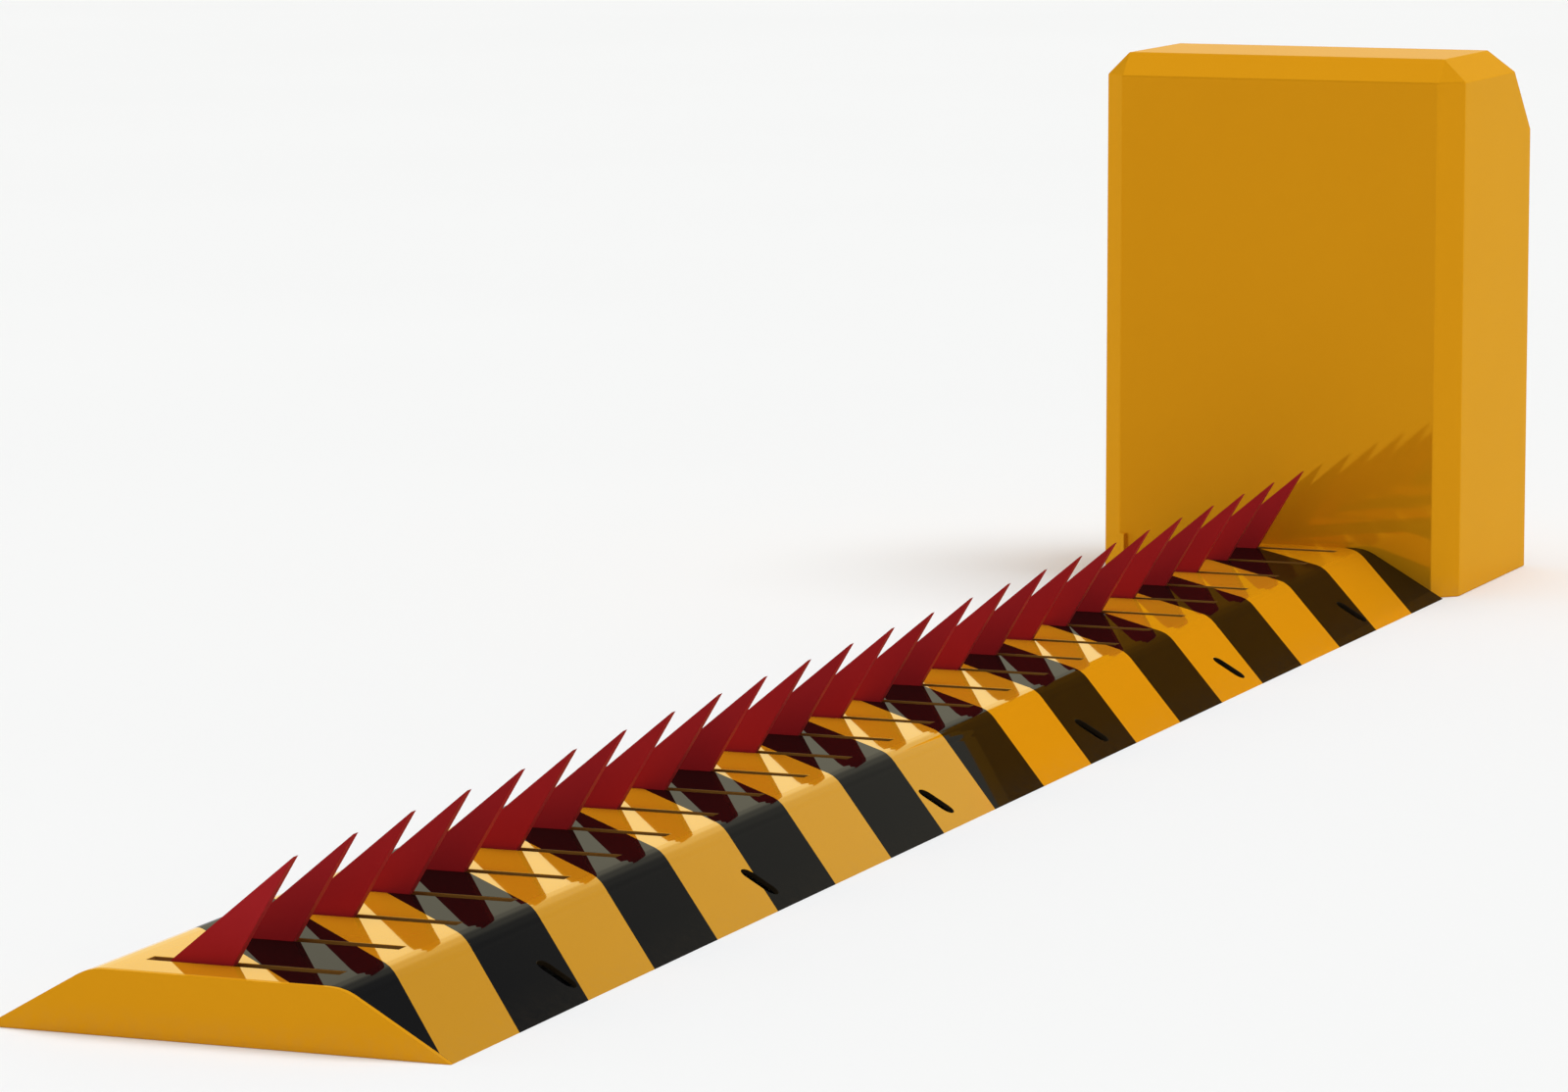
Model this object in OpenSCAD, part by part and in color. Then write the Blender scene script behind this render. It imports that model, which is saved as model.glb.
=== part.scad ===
// Motor-driven tyre spike strip: a low steel hump that lies across a lane, a row of
// spike plates on one long shaft inside it, and a drive cabinet at one end.
// X runs along the strip towards the cabinet, Z is up, and the ground is z = 0.
// Lengths are in millimetres, and the modules below measure x from the free end.

/* [Spikes] */
// Number of spikes along the strip
spike_count = 25; // [6:1:25]
// Distance from one spike to the next
spike_pitch = 120; // [105:1:160]
// Distance from the free end to the first spike
first_spike_x = 60; // [50:1:90]
// Distance from the last spike to the cabinet
last_spike_gap = 40; // [36:1:80]
// Thickness of a spike plate
spike_t = 10; // [6:0.5:12]
// Height of a raised tip above the hump
spike_h = 98; // [80:1:105]
// How far a raised tip leans ahead of its rear root
spike_lean = 117.5; // [105:0.5:122]
// Width of a spike where it leaves the hump
spike_root_w = 58.5; // [45:0.5:62]
// Distance from the shaft to a raised spike's rear root
spike_root_in = 37.5; // [34:0.5:44]
// Angle that the shaft turns to lower the spikes
fold_angle = 32; // [30:0.5:33]

/* [Hump] */
// Width of the hump from toe to toe
hump_w = 440; // [420:1:480]
// Height of the hump
hump_h = 58; // [56:1:64]
// Slope of both ramps
ramp_angle = 30; // [27:0.5:33]
// Outer radius of the two bends
bend_r = 50; // [30:1:60]
// Thickness of the bent cover plate
plate_t = 5; // [4:0.5:6]
// Width of a spike slot
slot_w = 16; // [14:0.5:22]
// Distance from a raised spike's rear root to the slot's rear end
slot_rear_gap = 21.5; // [12:0.5:24]
// Clearance between a spike tip and the slot's front end
slot_end_gap = 2; // [1:0.5:6]
// Thickness of the plate on the free end
end_plate_t = 6; // [4:0.5:10]
// Thickness of the plate at the drive end
drive_plate_t = 8; // [6:0.5:12]
// Thickness of a cross rib
rib_t = 8; // [6:0.5:12]

/* [Ground rails] */
// Thickness of a ground rail
rail_t = 6; // [5:0.5:8]
// Distance from the hump's toe to a rail's inner edge
rail_in = 70; // [60:1:75]
// Distance from the hump's toe to an anchor hole
anchor_in = 34; // [30:1:40]
// Radius of an anchor hole
anchor_r = 6.5; // [5:0.25:8]
// Width of an access slot in the ramp
access_w = 20; // [18:0.5:24]
// Length of an access slot down the ramp
access_l = 42; // [34:0.5:46]
// Spike that the first anchor stands beside
anchor_first = 3; // [2:1:4]
// Number of spikes from one anchor to the next
anchor_step_count = 4; // [3:1:6]

/* [Shaft] */
// Radius of the spike shaft
shaft_r = 10; // [8:0.5:11]
// Distance from the hump's rear toe to the shaft
shaft_in = 114; // [112:0.5:118]
// Radius of a spike hub
hub_r = 16; // [14.5:0.25:17]
// Length of a spike hub
hub_l = 40; // [30:1:44]
// Clearance between a hub and the cover above it
hub_gap = 3; // [2:0.25:4]
// Radius of a hub screw
hub_screw_r = 3; // [2:0.25:4]
// Outer radius of a shaft bush
bush_r = 14; // [12.5:0.25:15]
// Radius of a bush's flange
bush_flange_r = 17; // [16:0.25:18]
// Thickness of a bush's flange
bush_flange_t = 2; // [1.5:0.25:3]

/* [Cabinet] */
// Width of the cabinet
cab_w = 464; // [440:1:500]
// Depth of the cabinet
cab_d = 332; // [325:1:380]
// Height of the cabinet
cab_h = 666; // [650:1:720]
// Size of the folds on the front corners and round the top
cab_fold = 28; // [20:1:36]
// Height of the slope at the rear of the top
slope_h = 105; // [80:1:108]
// Thickness of the cabinet sheet
sheet_t = 3; // [2:0.25:4]
// Thickness of the cabinet base plate
base_t = 8; // [6:0.5:12]
// Width of the shell's inner foot flanges
foot_w = 26; // [22:1:32]
// Number of bolts in each foot flange
foot_bolts = 3; // [2:1:5]
// Distance from the cabinet's front and rear to its anchors
cab_anchor_x = 46; // [40:1:60]
// Distance from the cabinet's sides to its anchors
cab_anchor_in = 52; // [46:1:56]
// Radius of the conduit entry in the base plate
conduit_r = 20; // [12:0.5:26]
// Conduit entry's distance from the cabinet's front
conduit_x = 120; // [100:1:200]
// Conduit entry's distance from the cabinet's side
conduit_in = 132; // [122:1:152]
// Length of the gusset in front of the cabinet
gusset_l = 9; // [6:0.5:12]
// Height of the gusset
gusset_h = 62; // [40:1:80]

/* [Cabinet bolts] */
// Radius of a cabinet bolt
bolt_r = 4; // [3:0.25:5]
// Radius of a bolt's hexagon head
bolt_head_r = 7.5; // [6:0.25:9]
// Height of a bolt's head
bolt_head_t = 5.5; // [4:0.25:7]
// Distance from the drive bracket's edges to its bolts
bolt_in = 20; // [14:0.5:26]
// Depth of the gearbox bolts in the gearbox
bolt_depth = 16; // [10:0.5:20]

/* [Drive bracket] */
// Distance from the cabinet's front to the drive bracket
bracket_x = 84; // [82:1:90]
// Thickness of the drive bracket
bracket_t = 10; // [8:0.5:14]
// Distance from the shaft to the drive bracket's inner edge
bracket_reach = 95; // [92:1:110]
// Gap between the drive bracket and the shell's foot flange
bracket_gap = 2; // [1:0.5:4]
// Length of the drive bracket's foot
bracket_foot_l = 70; // [50:1:90]
// Height of the drive bracket's two gussets
bracket_gusset_h = 190; // [120:1:210]
// Thickness of the drive bracket's gussets
bracket_gusset_t = 8; // [6:0.5:10]
// Radius of the gearbox hub that fits the bracket
gearbox_hub_r = 26; // [22:0.5:30]

/* [Linkage] */
// Length of the crank and of the shaft lever
arm_l = 80; // [70:0.5:84]
// Angle of the raised arms above the horizontal
arm_angle = 45; // [42:0.5:50]
// Distance from the cabinet's top to the gearbox shaft
output_in = 332; // [322:1:345]
// Thickness of the two arms
arm_t = 12; // [10:0.5:14]
// Width of the two arms
arm_w = 26; // [20:0.5:30]
// Radius of the arms' hubs
arm_hub_r = 22; // [19:0.25:23]
// Radius of the arms' pin bosses
arm_boss_r = 17; // [15:0.25:18]
// Distance from the bracket to the arms
arm_gap = 12; // [11:0.5:14]
// Radius of a link pin
pin_r = 8; // [6:0.25:9]
// Radius of a link pin's head
pin_head_r = 12; // [10.5:0.25:14]
// Thickness of a link pin's head
pin_head_t = 5; // [4:0.25:7]
// Thickness of a rod end
rod_end_t = 14; // [12:0.5:16]
// Radius of a rod end's eye
rod_end_r = 19; // [16:0.25:20]
// Distance from an eye's middle to the end of its shank
rod_shank_l = 50; // [45:0.5:56]
// Radius of a rod end's shank
rod_shank_r = 6; // [5:0.25:6.5]
// Radius of the connecting rod
rod_r = 10; // [8:0.25:12]
// Depth of the thread in each end of the connecting rod
rod_thread_l = 20; // [14:0.5:24]
// Extra radius of the rod's lower eye round its pin
free_eye_gap = 0.4; // [0.3:0.05:0.6]

/* [Gearbox and motor] */
// Depth of the gearbox
gearbox_d = 90; // [84:1:100]
// Radius of the gearbox's wheel case
gearbox_r = 54; // [50:0.5:56]
// Radius of the output shaft
output_r = 14; // [10:0.25:15]
// Distance from the output shaft to the worm
worm_y = 50; // [46:0.5:54]
// Width of the worm case
worm_w = 64; // [56:1:70]
// Distance from the output shaft to the bottom of the worm case
worm_down = 58; // [50:1:62]
// Distance from the output shaft to the top of the worm case
worm_up = 62; // [60:1:70]
// Radius of the motor flange
flange_r = 50; // [48:0.5:54]
// Thickness of the motor flange
flange_t = 10; // [8:0.5:14]
// Radius of the motor's core
motor_r = 43; // [38:0.5:44]
// Length of the motor housing
motor_l = 140; // [120:1:160]
// Number of cooling fins
fin_count = 20; // [12:1:28]
// Height of a cooling fin
fin_h = 5; // [3:0.25:6]
// Thickness of a cooling fin
fin_t = 3; // [2:0.25:4]
// Length of the fan cowl
cowl_l = 44; // [34:1:56]
// Wall of the fan cowl
cowl_t = 2; // [1.5:0.25:3]
// Number of air holes in the fan cowl
cowl_holes = 10; // [6:1:12]
// Radius of an air hole
cowl_hole_r = 6; // [4:0.25:7]
// Width of the motor's terminal box
terminal_w = 64; // [50:1:80]
// Height of the motor's terminal box
terminal_h = 70; // [50:1:80]
// Depth of the motor's terminal box
terminal_d = 34; // [26:1:44]
// Depth of the terminal box's lid
terminal_lid_d = 11; // [6:0.5:14]
// Distance of the gearbox bolts from the output shaft, each way
gear_bolt_off = 30; // [29:0.5:34]

/* [Sensors and controls] */
// Radius of a position sensor
sensor_r = 6; // [4:0.25:8]
// Length of a position sensor
sensor_l = 55; // [40:1:70]
// Gap between a sensor and the lever it sees
sensor_gap = 3; // [2:0.25:5]
// Radius of a sensor's nuts
sensor_nut_r = 10; // [9:0.25:11]
// Thickness of a sensor's nuts
sensor_nut_t = 4; // [3:0.25:6]
// Width of the control box
control_w = 180; // [140:1:200]
// Height of the control box
control_h = 240; // [180:1:280]
// Depth of the control box with its lid
control_d = 100; // [80:1:110]
// Wall of the control box
control_t = 3; // [2:0.25:4]
// Thickness of the control box lid
control_lid_t = 8; // [5:0.5:12]
// Distance from the cabinet's front to the control box
control_x = 70; // [60:1:100]
// Height of the control box above the ground
control_z = 200; // [160:1:240]
// Number of cable glands below the control box
gland_count = 3; // [1:1:4]
// Radius of a cable gland's hexagon
gland_r = 11; // [10:0.5:14]
// Length of a cable gland's hexagon
gland_hex_l = 9; // [6:0.5:12]
// Radius of a cable gland's cap
gland_cap_r = 9; // [7.5:0.25:9.25]
// Length of a cable gland
gland_l = 26; // [18:1:36]
// Bore of a cable gland
gland_bore_r = 5; // [3:0.5:6]

/* [Door] */
// Distance from the cabinet's sides to the rear door
door_side = 37; // [35:1:52]
// Distance from the slope to the rear door's upper edge
door_top_in = 26; // [20:1:70]
// Height of the door's lower edge above the ground
door_z = 45; // [36:1:50]
// Depth of the door tray
door_d = 15; // [12:0.5:18]
// Thickness of the door sheet
door_t = 2; // [1.5:0.25:3]
// Gap between the closed door and the rear face
door_gap = 1; // [0.6:0.1:2]
// Overlap of the door round its opening
door_lap = 15; // [12:0.5:20]
// Width of the door seal
seal_w = 10; // [8:0.5:11]
// Gap between the seal and the rear face
seal_gap = 0.3; // [0.2:0.05:0.5]
// Radius of a hinge knuckle
knuckle_r = 6; // [5:0.25:7]
// Radius of a hinge pin
hinge_pin_r = 3; // [2:0.25:3.5]
// Length of a hinge
hinge_l = 90; // [60:1:120]
// Thickness of a hinge leaf
leaf_t = 3; // [2:0.25:4]
// Length of a hinge leaf on the door
leaf_w = 40; // [30:1:60]
// Length of a hinge leaf on the cabinet
frame_leaf_w = 26; // [20:1:27]
// Distance from the door's ends to the hinges
hinge_in = 60; // [40:1:90]
// Distance from the door's edge to the hinge axis
hinge_out = 8; // [7.5:0.25:10]
// Radius of the lock's barrel
lock_r = 8; // [6:0.25:9]
// Radius of the lock's rosette
lock_rosette_r = 15; // [12:0.5:18]
// Thickness of the lock's rosette
lock_rosette_t = 4; // [3:0.25:6]
// Length of the lock's wing grip
lock_grip_l = 44; // [30:1:50]
// Thickness of the lock's wing grip
lock_grip_t = 9; // [6:0.5:12]
// How far the wing grip stands out
lock_grip_h = 16; // [12:0.5:22]
// Distance from the door's free edge to the lock
lock_in = 30; // [28:0.5:34]
// Length of the lock's cam from its axis
cam_l = 34; // [31:0.5:38]
// Width of the lock's cam
cam_w = 14; // [10:0.5:16]
// Thickness of the lock's cam
cam_t = 4; // [3:0.25:6]
// Gap between the turned cam and the rear sheet
cam_gap = 2; // [1:0.25:4]

/* [Hidden] */
$fn = 64;
// Extra length of every cut
overrun = 1;
// Radial clearance of a shaft in its bearing
run_gap = 0.05;
// Radial clearance of pieces that are fixed together
seat_gap = 0.02;
// Clearance between flat pieces that pass or stand beside each other
side_gap = 0.3;
// Play at the sides of a rod end, and between a hinge's leaves and its axis
play = 1;
// Straight stretches of each bend
bend_steps = 6;
// How far the flat part of an outline reaches across a round one
grip_share = 0.9;
// Depth of a spike's front root in the cover plate
root_share = 0.3;
// How far a 45 degree fold moves along a wall for each unit of thickness
mitre_share = sqrt(2) - 1;

function spike_x(i) = first_spike_x + (i - 1) * spike_pitch;
function spike_name(i) = str("spike_", i < 10 ? "0" : "", i);

// Strip
strip_l = spike_x(spike_count) + last_spike_gap;
shoulder_y = hump_w / 2 - hump_h / tan(ramp_angle);
bend_y = shoulder_y - bend_r * tan(ramp_angle / 2);
inner_h = hump_h - plate_t;
rib_xs = [for (i = [1 : 2 : spike_count - 1]) (spike_x(i) + spike_x(i + 1)) / 2];
anchor_count = floor((spike_count - anchor_first) / anchor_step_count) + 1;
anchor_xs = [for (k = [0 : anchor_count - 1]) spike_x(anchor_first + k * anchor_step_count)];
anchor_y = hump_w / 2 - anchor_in;
anchor_z = anchor_in * tan(ramp_angle);
rail_in_y = hump_w / 2 - rail_in;

// Spikes and shaft
shaft_y = hump_w / 2 - shaft_in;
shaft_z = inner_h - hub_gap - hub_r;
shaft_start = first_spike_x - hub_l / 2;
spike_root_y = shaft_y - spike_root_in;
tip_y = spike_root_y - spike_lean;
tip_z = hump_h + spike_h;
tip_reach = norm([shaft_y - tip_y, tip_z - shaft_z]);
slot_front_y = shaft_y - sqrt(pow(tip_reach, 2) - pow(inner_h - shaft_z, 2)) - slot_end_gap;
slot_rear_y = spike_root_y + slot_rear_gap;
hub_grip = hub_r * grip_share;
hub_screw_x = (spike_t / 2 + hub_l / 2) / 2;
heel_z = shaft_z + hub_grip;
spike_outline = [
    [tip_y, tip_z],
    [spike_root_y + (hump_h - heel_z) * spike_lean / spike_h, heel_z],
    [shaft_y, heel_z],
    [shaft_y, shaft_z - hub_grip],
    [spike_root_y - spike_root_w, hump_h - plate_t * root_share]];

// Cabinet
rear_x = strip_l + cab_d;
rear_face_h = cab_h - slope_h;
half_in = cab_w / 2 - sheet_t;
foot_x = strip_l + cab_fold + sheet_t;
foot_l = cab_d - cab_fold - 2 * sheet_t;
foot_bolt_xs = [for (k = [1 : foot_bolts]) foot_x + foot_l * k / (foot_bolts + 1)];
foot_bolt_y = half_in - foot_w / 2;
cab_anchor_xs = [strip_l + cab_anchor_x, rear_x - cab_anchor_x];
cab_anchor_y = cab_w / 2 - cab_anchor_in;
conduit_y = cab_w / 2 - conduit_in;
gusset_y = cab_w / 2 - cab_fold;

// Drive
output_z = cab_h - output_in;
link_l = output_z - shaft_z;
bracket_front = strip_l + bracket_x;
bracket_rear = bracket_front + bracket_t;
bracket_top = output_z + gearbox_r;
bracket_y = shaft_y - bracket_reach;
bracket_w = half_in - foot_w - bracket_gap - bracket_y;
bracket_bolt_x = bracket_rear + bracket_foot_l - bolt_in;
bracket_bolt_in = bracket_gusset_t + bolt_in;
bracket_bolt_ys = [for (y = [bracket_bolt_in, bracket_w / 2, bracket_w - bracket_bolt_in]) bracket_y + y];
shaft_end = bracket_rear + bracket_t;
arm_front = bracket_front - arm_gap - arm_t;
rod_mid = arm_front - play - rod_end_t / 2;
pin_front = rod_mid - rod_end_t / 2 - play - pin_head_t;
pin_y = shaft_y - arm_l * cos(arm_angle);
pin_z = shaft_z + arm_l * sin(arm_angle);
low_angle = arm_angle - fold_angle;
sensor_places = [
    [pin_y, pin_z],
    [shaft_y - arm_l * cos(low_angle), shaft_z + arm_l * sin(low_angle)]];
motor_x = bracket_rear + gearbox_d / 2;
motor_y = shaft_y - worm_y;
flange_z = output_z + worm_up;
motor_z = flange_z + flange_t;
cowl_z = motor_z + flange_t + motor_l;
cowl_r = motor_r + fin_h;

// Door
door_w = cab_w - 2 * door_side;
door_h = rear_face_h - door_top_in - door_z;
door_front = rear_x + door_gap;
door_rear = door_front + door_d;
hinge_x = door_rear + leaf_t + play;
hinge_y = door_w / 2 + hinge_out;
hinge_zs = [door_z + hinge_in, door_z + door_h - hinge_in - hinge_l];
knuckles = 3;
knuckle_l = hinge_l / knuckles;
lock_y = lock_in - door_w / 2;
lock_z = door_z + door_h / 2;
cam_rear = rear_x - sheet_t - cam_gap;
cam_front = cam_rear - cam_t;
cam_boss_r = lock_r + cam_t;
rosette_front = door_rear + side_gap;
grip_front = rosette_front + lock_rosette_t;
total_l = grip_front + lock_grip_h;

// Finishes
spike_red = [0.55, 0.07, 0.08];
signal_yellow = [0.87, 0.62, 0.08];
bare_steel = [0.62, 0.63, 0.65];
grey_paint = [0.45, 0.48, 0.5];
cast_grey = [0.5, 0.52, 0.53];
bronze = [0.7, 0.5, 0.25];
black_rubber = [0.1, 0.1, 0.1];

// Puts the middle of the whole object at x = 0
module placed() translate([-total_l / 2, 0, 0]) children();

// Extrudes an outline of (y, z) points along x
module along_x(l) rotate([90, 0, 90]) linear_extrude(l) children();

module rod_along_x(r, l) rotate([0, 90, 0]) cylinder(r = r, h = l);

module hole_along_x(r, l) translate([-overrun, 0, 0]) rod_along_x(r, l + 2 * overrun);

module hole_up(r, l) translate([0, 0, -overrun]) cylinder(r = r, h = l + 2 * overrun);

module both_sides() {
    children();
    mirror([0, 1, 0]) children();
}

function toe_y(t) = hump_w / 2 - t / sin(ramp_angle);

// One bend of the hump, t inside its outer face, from the top down to the ramp
function bend_points(t, side) = [
    for (k = [0 : bend_steps])
    let (a = ramp_angle * k / bend_steps)
    [side * (bend_y + (bend_r - t) * sin(a)), hump_h - bend_r + (bend_r - t) * cos(a)]];

function reversed(points) = [for (k = [len(points) - 1 : -1 : 0]) points[k]];

// The hump's section, t inside its outer face, carried down below the ground by foot
function hump_outline(t, foot) =
    let (end_y = toe_y(t) + foot / tan(ramp_angle))
    concat([[-end_y, -foot]], reversed(bend_points(t, -1)), bend_points(t, 1), [[end_y, -foot]]);

// Obround cut through a ramp, square to it, above an anchor hole
module access_cut(x, side) {
    straight = access_l - access_w;
    deep = plate_t + 2 * overrun;
    translate([x, side * anchor_y, anchor_z])
    rotate([-side * ramp_angle, 0, 0])
    translate([0, 0, -plate_t - overrun]) {
        translate([-access_w / 2, -straight / 2, 0]) cube([access_w, straight, deep]);
        for (end = [-1, 1]) translate([0, end * straight / 2, 0]) cylinder(d = access_w, h = deep);
    }
}

// One bent plate makes the top and both ramps
module hump_cover() placed() color(signal_yellow) difference() {
    translate([end_plate_t, 0, 0]) along_x(strip_l - end_plate_t) difference() {
        polygon(hump_outline(0, 0));
        polygon(hump_outline(plate_t, overrun));
    }
    for (i = [1 : spike_count])
        translate([spike_x(i) - slot_w / 2, slot_front_y, inner_h - overrun])
        cube([slot_w, slot_rear_y - slot_front_y, plate_t + 2 * overrun]);
    for (x = anchor_xs, side = [-1, 1]) access_cut(x, side);
}

// Flat bars under the ramps, bevelled to them, that take the ground anchors
module base_rails() placed() color(grey_paint) both_sides() difference() {
    translate([end_plate_t, 0, 0]) along_x(strip_l - end_plate_t - drive_plate_t) polygon([
        [rail_in_y, 0],
        [toe_y(plate_t), 0],
        [toe_y(plate_t) - rail_t / tan(ramp_angle), rail_t],
        [rail_in_y, rail_t]]);
    for (x = anchor_xs) translate([x, anchor_y, 0]) hole_up(anchor_r, rail_t);
}

// Section of the pieces that stand across the hump and carry the shaft
module bulkhead_section() difference() {
    polygon(hump_outline(plate_t, 0));
    translate([shaft_y, shaft_z]) circle(bush_r + seat_gap);
}

// Plates between the spikes that hold up the cover and carry the shaft
module cross_ribs() placed() color(grey_paint)
    for (x = rib_xs) translate([x - rib_t / 2, 0, 0]) along_x(rib_t) difference() {
        bulkhead_section();
        for (side = [0, 1]) mirror([side, 0])
            translate([rail_in_y, -overrun]) square([hump_w / 2, rail_t + overrun]);
    }

module free_end_plate() placed() color(signal_yellow)
    along_x(end_plate_t) polygon(hump_outline(0, 0));

module drive_end_plate() placed() color(grey_paint)
    translate([strip_l - drive_plate_t, 0, 0]) along_x(drive_plate_t) bulkhead_section();

// Flanged bush for a seat of thickness t that starts at x
module bush(x, t) translate([x - bush_flange_t, shaft_y, shaft_z]) difference() {
    union() {
        rod_along_x(bush_flange_r, bush_flange_t);
        rod_along_x(bush_r, t + 2 * bush_flange_t);
    }
    hole_along_x(shaft_r + run_gap, t + 2 * bush_flange_t);
}

module shaft_bushes() placed() color(bronze) {
    for (x = rib_xs) bush(x - rib_t / 2, rib_t);
    bush(strip_l - drive_plate_t, drive_plate_t);
    bush(bracket_front, bracket_t);
}

// The shaft runs through every hub and ends behind the drive bracket
module spike_shaft() placed() color(bare_steel)
    translate([shaft_start, shaft_y, shaft_z]) rod_along_x(shaft_r, shaft_end - shaft_start);

// Set screws that lock the hubs to the shaft from below
module hub_screws() placed() color(bare_steel)
    for (i = [1 : spike_count])
        translate([spike_x(i) + hub_screw_x, shaft_y, shaft_z - hub_grip])
        cylinder(r = hub_screw_r - seat_gap, h = hub_grip - shaft_r - seat_gap);

// Pointed plate on a hub, drawn raised
module spike(i) placed() color(spike_red) translate([spike_x(i), 0, 0]) difference() {
    union() {
        translate([-spike_t / 2, 0, 0]) along_x(spike_t) polygon(spike_outline);
        translate([-hub_l / 2, shaft_y, shaft_z]) rod_along_x(hub_r, hub_l);
    }
    translate([-hub_l / 2, shaft_y, shaft_z]) hole_along_x(shaft_r + seat_gap, hub_l);
    translate([hub_screw_x, shaft_y, shaft_z - hub_r - overrun])
    cylinder(r = hub_screw_r, h = hub_r + overrun);
}

// Corners of the cabinet, t inside its outer faces, from height z up
function cabinet_corners(t, z) =
    let (
        half = cab_w / 2 - t,
        front_half = cab_w / 2 - cab_fold - mitre_share * t,
        fold_x = cab_fold + mitre_share * t,
        fold_z = cab_h - cab_fold - mitre_share * t,
        rear = cab_d - t,
        top = cab_h - t,
        slope = cab_d + rear_face_h - t * sqrt(2),
        side_corners = [
            [t, front_half, z], [fold_x, half, z], [rear, half, z],
            [t, front_half, fold_z], [fold_x, half, fold_z],
            [rear, half, slope - rear], [slope - fold_z, half, fold_z],
            [fold_x, front_half, top], [slope - top, front_half, top]])
    [for (side = [-1, 1], c = side_corners) [c[0], side * c[1], c[2]]];

module cabinet_form(t, z) translate([strip_l, 0, 0]) hull() {
    corners = cabinet_corners(t, z);
    polyhedron(corners, [[for (k = [0 : len(corners) - 1]) k]]);
}

// The cabinet's floor plan, t inside its outer faces
module cabinet_plan(t) {
    front_half = cab_w / 2 - cab_fold - mitre_share * t;
    fold_x = cab_fold + mitre_share * t;
    half = cab_w / 2 - t;
    translate([strip_l, 0]) polygon([
        [t, -front_half], [fold_x, -half], [cab_d - t, -half],
        [cab_d - t, half], [fold_x, half], [t, front_half]]);
}

module cabinet_base_plate() placed() color(grey_paint) difference() {
    linear_extrude(base_t) cabinet_plan(sheet_t + side_gap);
    for (x = cab_anchor_xs, side = [-1, 1])
        translate([x, side * cab_anchor_y, 0]) hole_up(anchor_r, base_t);
    translate([strip_l + conduit_x, -conduit_y, 0]) hole_up(conduit_r, base_t);
    for (x = foot_bolt_xs, side = [-1, 1])
        translate([x, side * foot_bolt_y, 0]) hole_up(bolt_r, base_t);
    for (y = bracket_bolt_ys) translate([bracket_bolt_x, y, 0]) hole_up(bolt_r, base_t);
}

// Folded sheet with a sloped rear top, a rear opening and two foot flanges inside
module cabinet_shell() placed() color(signal_yellow) difference() {
    union() {
        difference() {
            cabinet_form(0, 0);
            cabinet_form(sheet_t, -overrun);
        }
        both_sides() translate([foot_x, half_in - foot_w, base_t])
            cube([foot_l, foot_w + sheet_t / 2, sheet_t]);
    }
    translate([strip_l, shaft_y, shaft_z]) hole_along_x(bush_r, sheet_t);
    translate([rear_x - sheet_t - overrun, door_lap - door_w / 2, door_z + door_lap])
    cube([sheet_t + 2 * overrun, door_w - 2 * door_lap, door_h - 2 * door_lap]);
    for (x = foot_bolt_xs, side = [-1, 1])
        translate([x, side * foot_bolt_y, base_t]) hole_up(bolt_r, sheet_t);
}

// Hexagon bolt whose head sits on z = 0 and whose shank goes down by l
module bolt(l) {
    cylinder(r = bolt_head_r, h = bolt_head_t, $fn = 6);
    translate([0, 0, -l]) cylinder(r = bolt_r - seat_gap, h = l + bolt_head_t / 2);
}

module cabinet_bolts() placed() color(bare_steel) {
    for (x = foot_bolt_xs, side = [-1, 1])
        translate([x, side * foot_bolt_y, base_t + sheet_t]) bolt(base_t + sheet_t - play);
    for (y = bracket_bolt_ys)
        translate([bracket_bolt_x, y, base_t + bracket_t]) bolt(base_t + bracket_t - play);
    for (dy = [-1, 1], dz = [-1, 1])
        translate([bracket_front, shaft_y + dy * gear_bolt_off, output_z + dz * gear_bolt_off])
        rotate([0, -90, 0]) bolt(bracket_t + bolt_depth - play);
}

// Folded tab in line with the cabinet's front corner, standing over the ramp
module corner_gusset() placed() color(signal_yellow) {
    low_z = (hump_w / 2 - gusset_y + gusset_l) * tan(ramp_angle);
    translate([strip_l, gusset_y, low_z]) linear_extrude(gusset_h - low_z)
        polygon([[0, 0], [-gusset_l, -gusset_l], [0, -gusset_l]]);
}

// Upright plate with a foot and two gussets, which carries the gearbox and the shaft's end
module drive_bracket() placed() color(grey_paint) difference() {
    translate([bracket_front, bracket_y, base_t]) {
        cube([bracket_t, bracket_w, bracket_top - base_t]);
        cube([bracket_t + bracket_foot_l, bracket_w, bracket_t]);
        for (y = [bracket_gusset_t, bracket_w])
            translate([0, y, 0]) rotate([90, 0, 0]) linear_extrude(bracket_gusset_t) polygon([
                [0, 0], [bracket_t + bracket_foot_l, 0], [bracket_t + bracket_foot_l, bracket_t],
                [bracket_t, bracket_gusset_h], [0, bracket_gusset_h]]);
    }
    translate([bracket_front, shaft_y, shaft_z]) hole_along_x(bush_r + seat_gap, bracket_t);
    translate([bracket_front, shaft_y, output_z]) hole_along_x(gearbox_hub_r + seat_gap, bracket_t);
    for (dy = [-1, 1], dz = [-1, 1])
        translate([bracket_front, shaft_y + dy * gear_bolt_off, output_z + dz * gear_bolt_off])
        hole_along_x(bolt_r, bracket_t);
    for (p = sensor_places)
        translate([bracket_front, p[0], p[1]]) hole_along_x(sensor_r + seat_gap, bracket_t);
    for (y = bracket_bolt_ys) translate([bracket_bolt_x, y, base_t]) hole_up(bolt_r, bracket_t);
}

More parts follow.
